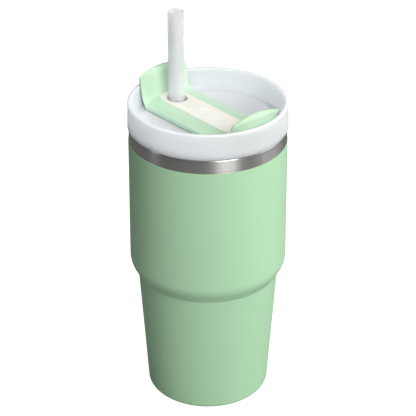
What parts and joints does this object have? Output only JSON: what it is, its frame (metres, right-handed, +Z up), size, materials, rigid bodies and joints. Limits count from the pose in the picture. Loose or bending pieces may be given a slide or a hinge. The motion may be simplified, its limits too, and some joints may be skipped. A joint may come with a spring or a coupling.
{
  "type": "insulated travel mug",
  "caption": "Double-walled steel travel mug with a stepped, tapered body, a screw-on drum lid, a turning saddle-shaped cover and a drinking straw.",
  "frame": {"origin": "centre of the base, on the surface that the mug stands on", "axes": "+Z up the axis of the mug; the cover lies along X with the straw on the -X side"},
  "size_m": [0.091, 0.091, 0.23],
  "materials": {
    "bare_steel": "turned satin, fine rings round the wall",
    "powder_coat": "matte powder coat with a fine orange-peel grain",
    "liner_steel": "electropolished satin",
    "pressed_steel": "plain mill finish",
    "getter_metal": "sintered grey pill",
    "sealing_glass": "fused bead",
    "base_steel": "spun satin",
    "white_silicone": "soft satin silicone",
    "frosted_plastic": "milky translucent plastic, satin outside",
    "green_plastic": "satin moulded plastic",
    "cream_plastic": "satin moulded plastic",
    "white_plastic": "semi-gloss moulded plastic",
    "dark_rubber": "satin",
    "clip_steel": "bright spring steel",
    "straw_plastic": "milky translucent plastic"
  },
  "bodies": {
    "vessel": {"outer_shell": "bare_steel", "powder_coat": "powder_coat", "inner_liner": "liner_steel", "liner_bottom": "liner_steel", "vacuum_bottom": "pressed_steel", "getter_pill": "getter_metal", "port_seal": "sealing_glass", "base_cap": "base_steel"},
    "gasket_ring": {"lid_gasket": "white_silicone"},
    "lid": {"lid_body": "frosted_plastic"},
    "cover": {"rotating_cover": "green_plastic", "cover_inlay": "cream_plastic", "cover_seal": "white_silicone", "stopper_pad": "white_silicone", "straw_grommet": "white_silicone", "pivot_post": "white_plastic", "pivot_oring": "dark_rubber", "pivot_washer": "white_plastic", "pivot_clip": "clip_steel"},
    "straw": {"straw": "straw_plastic"}
  },
  "joints": [
    {"name": "lid_rise", "type": "slide", "parent": "vessel", "child": "gasket_ring", "axis": [0, 0, 1], "range_m": [0, 0.0161]},
    {"name": "lid_turn", "type": "hinge", "parent": "gasket_ring", "child": "lid", "pos_m": [0, 0, 0.17], "axis": [0, 0, 1], "range_deg": [0, 480]},
    {"name": "cover_turn", "type": "hinge", "parent": "lid", "child": "cover", "pos_m": [0, 0, 0.1722], "axis": [0, 0, 1], "range_deg": [-22, 22]},
    {"name": "straw_pull", "type": "slide", "parent": "cover", "child": "straw", "axis": [0, 0, 1], "range_m": [0, 0.175]}
  ],
  "couplings": [
    {"joint": "lid_rise", "follows": "lid_turn", "m_per_rad": 0.0019099}
  ]
}
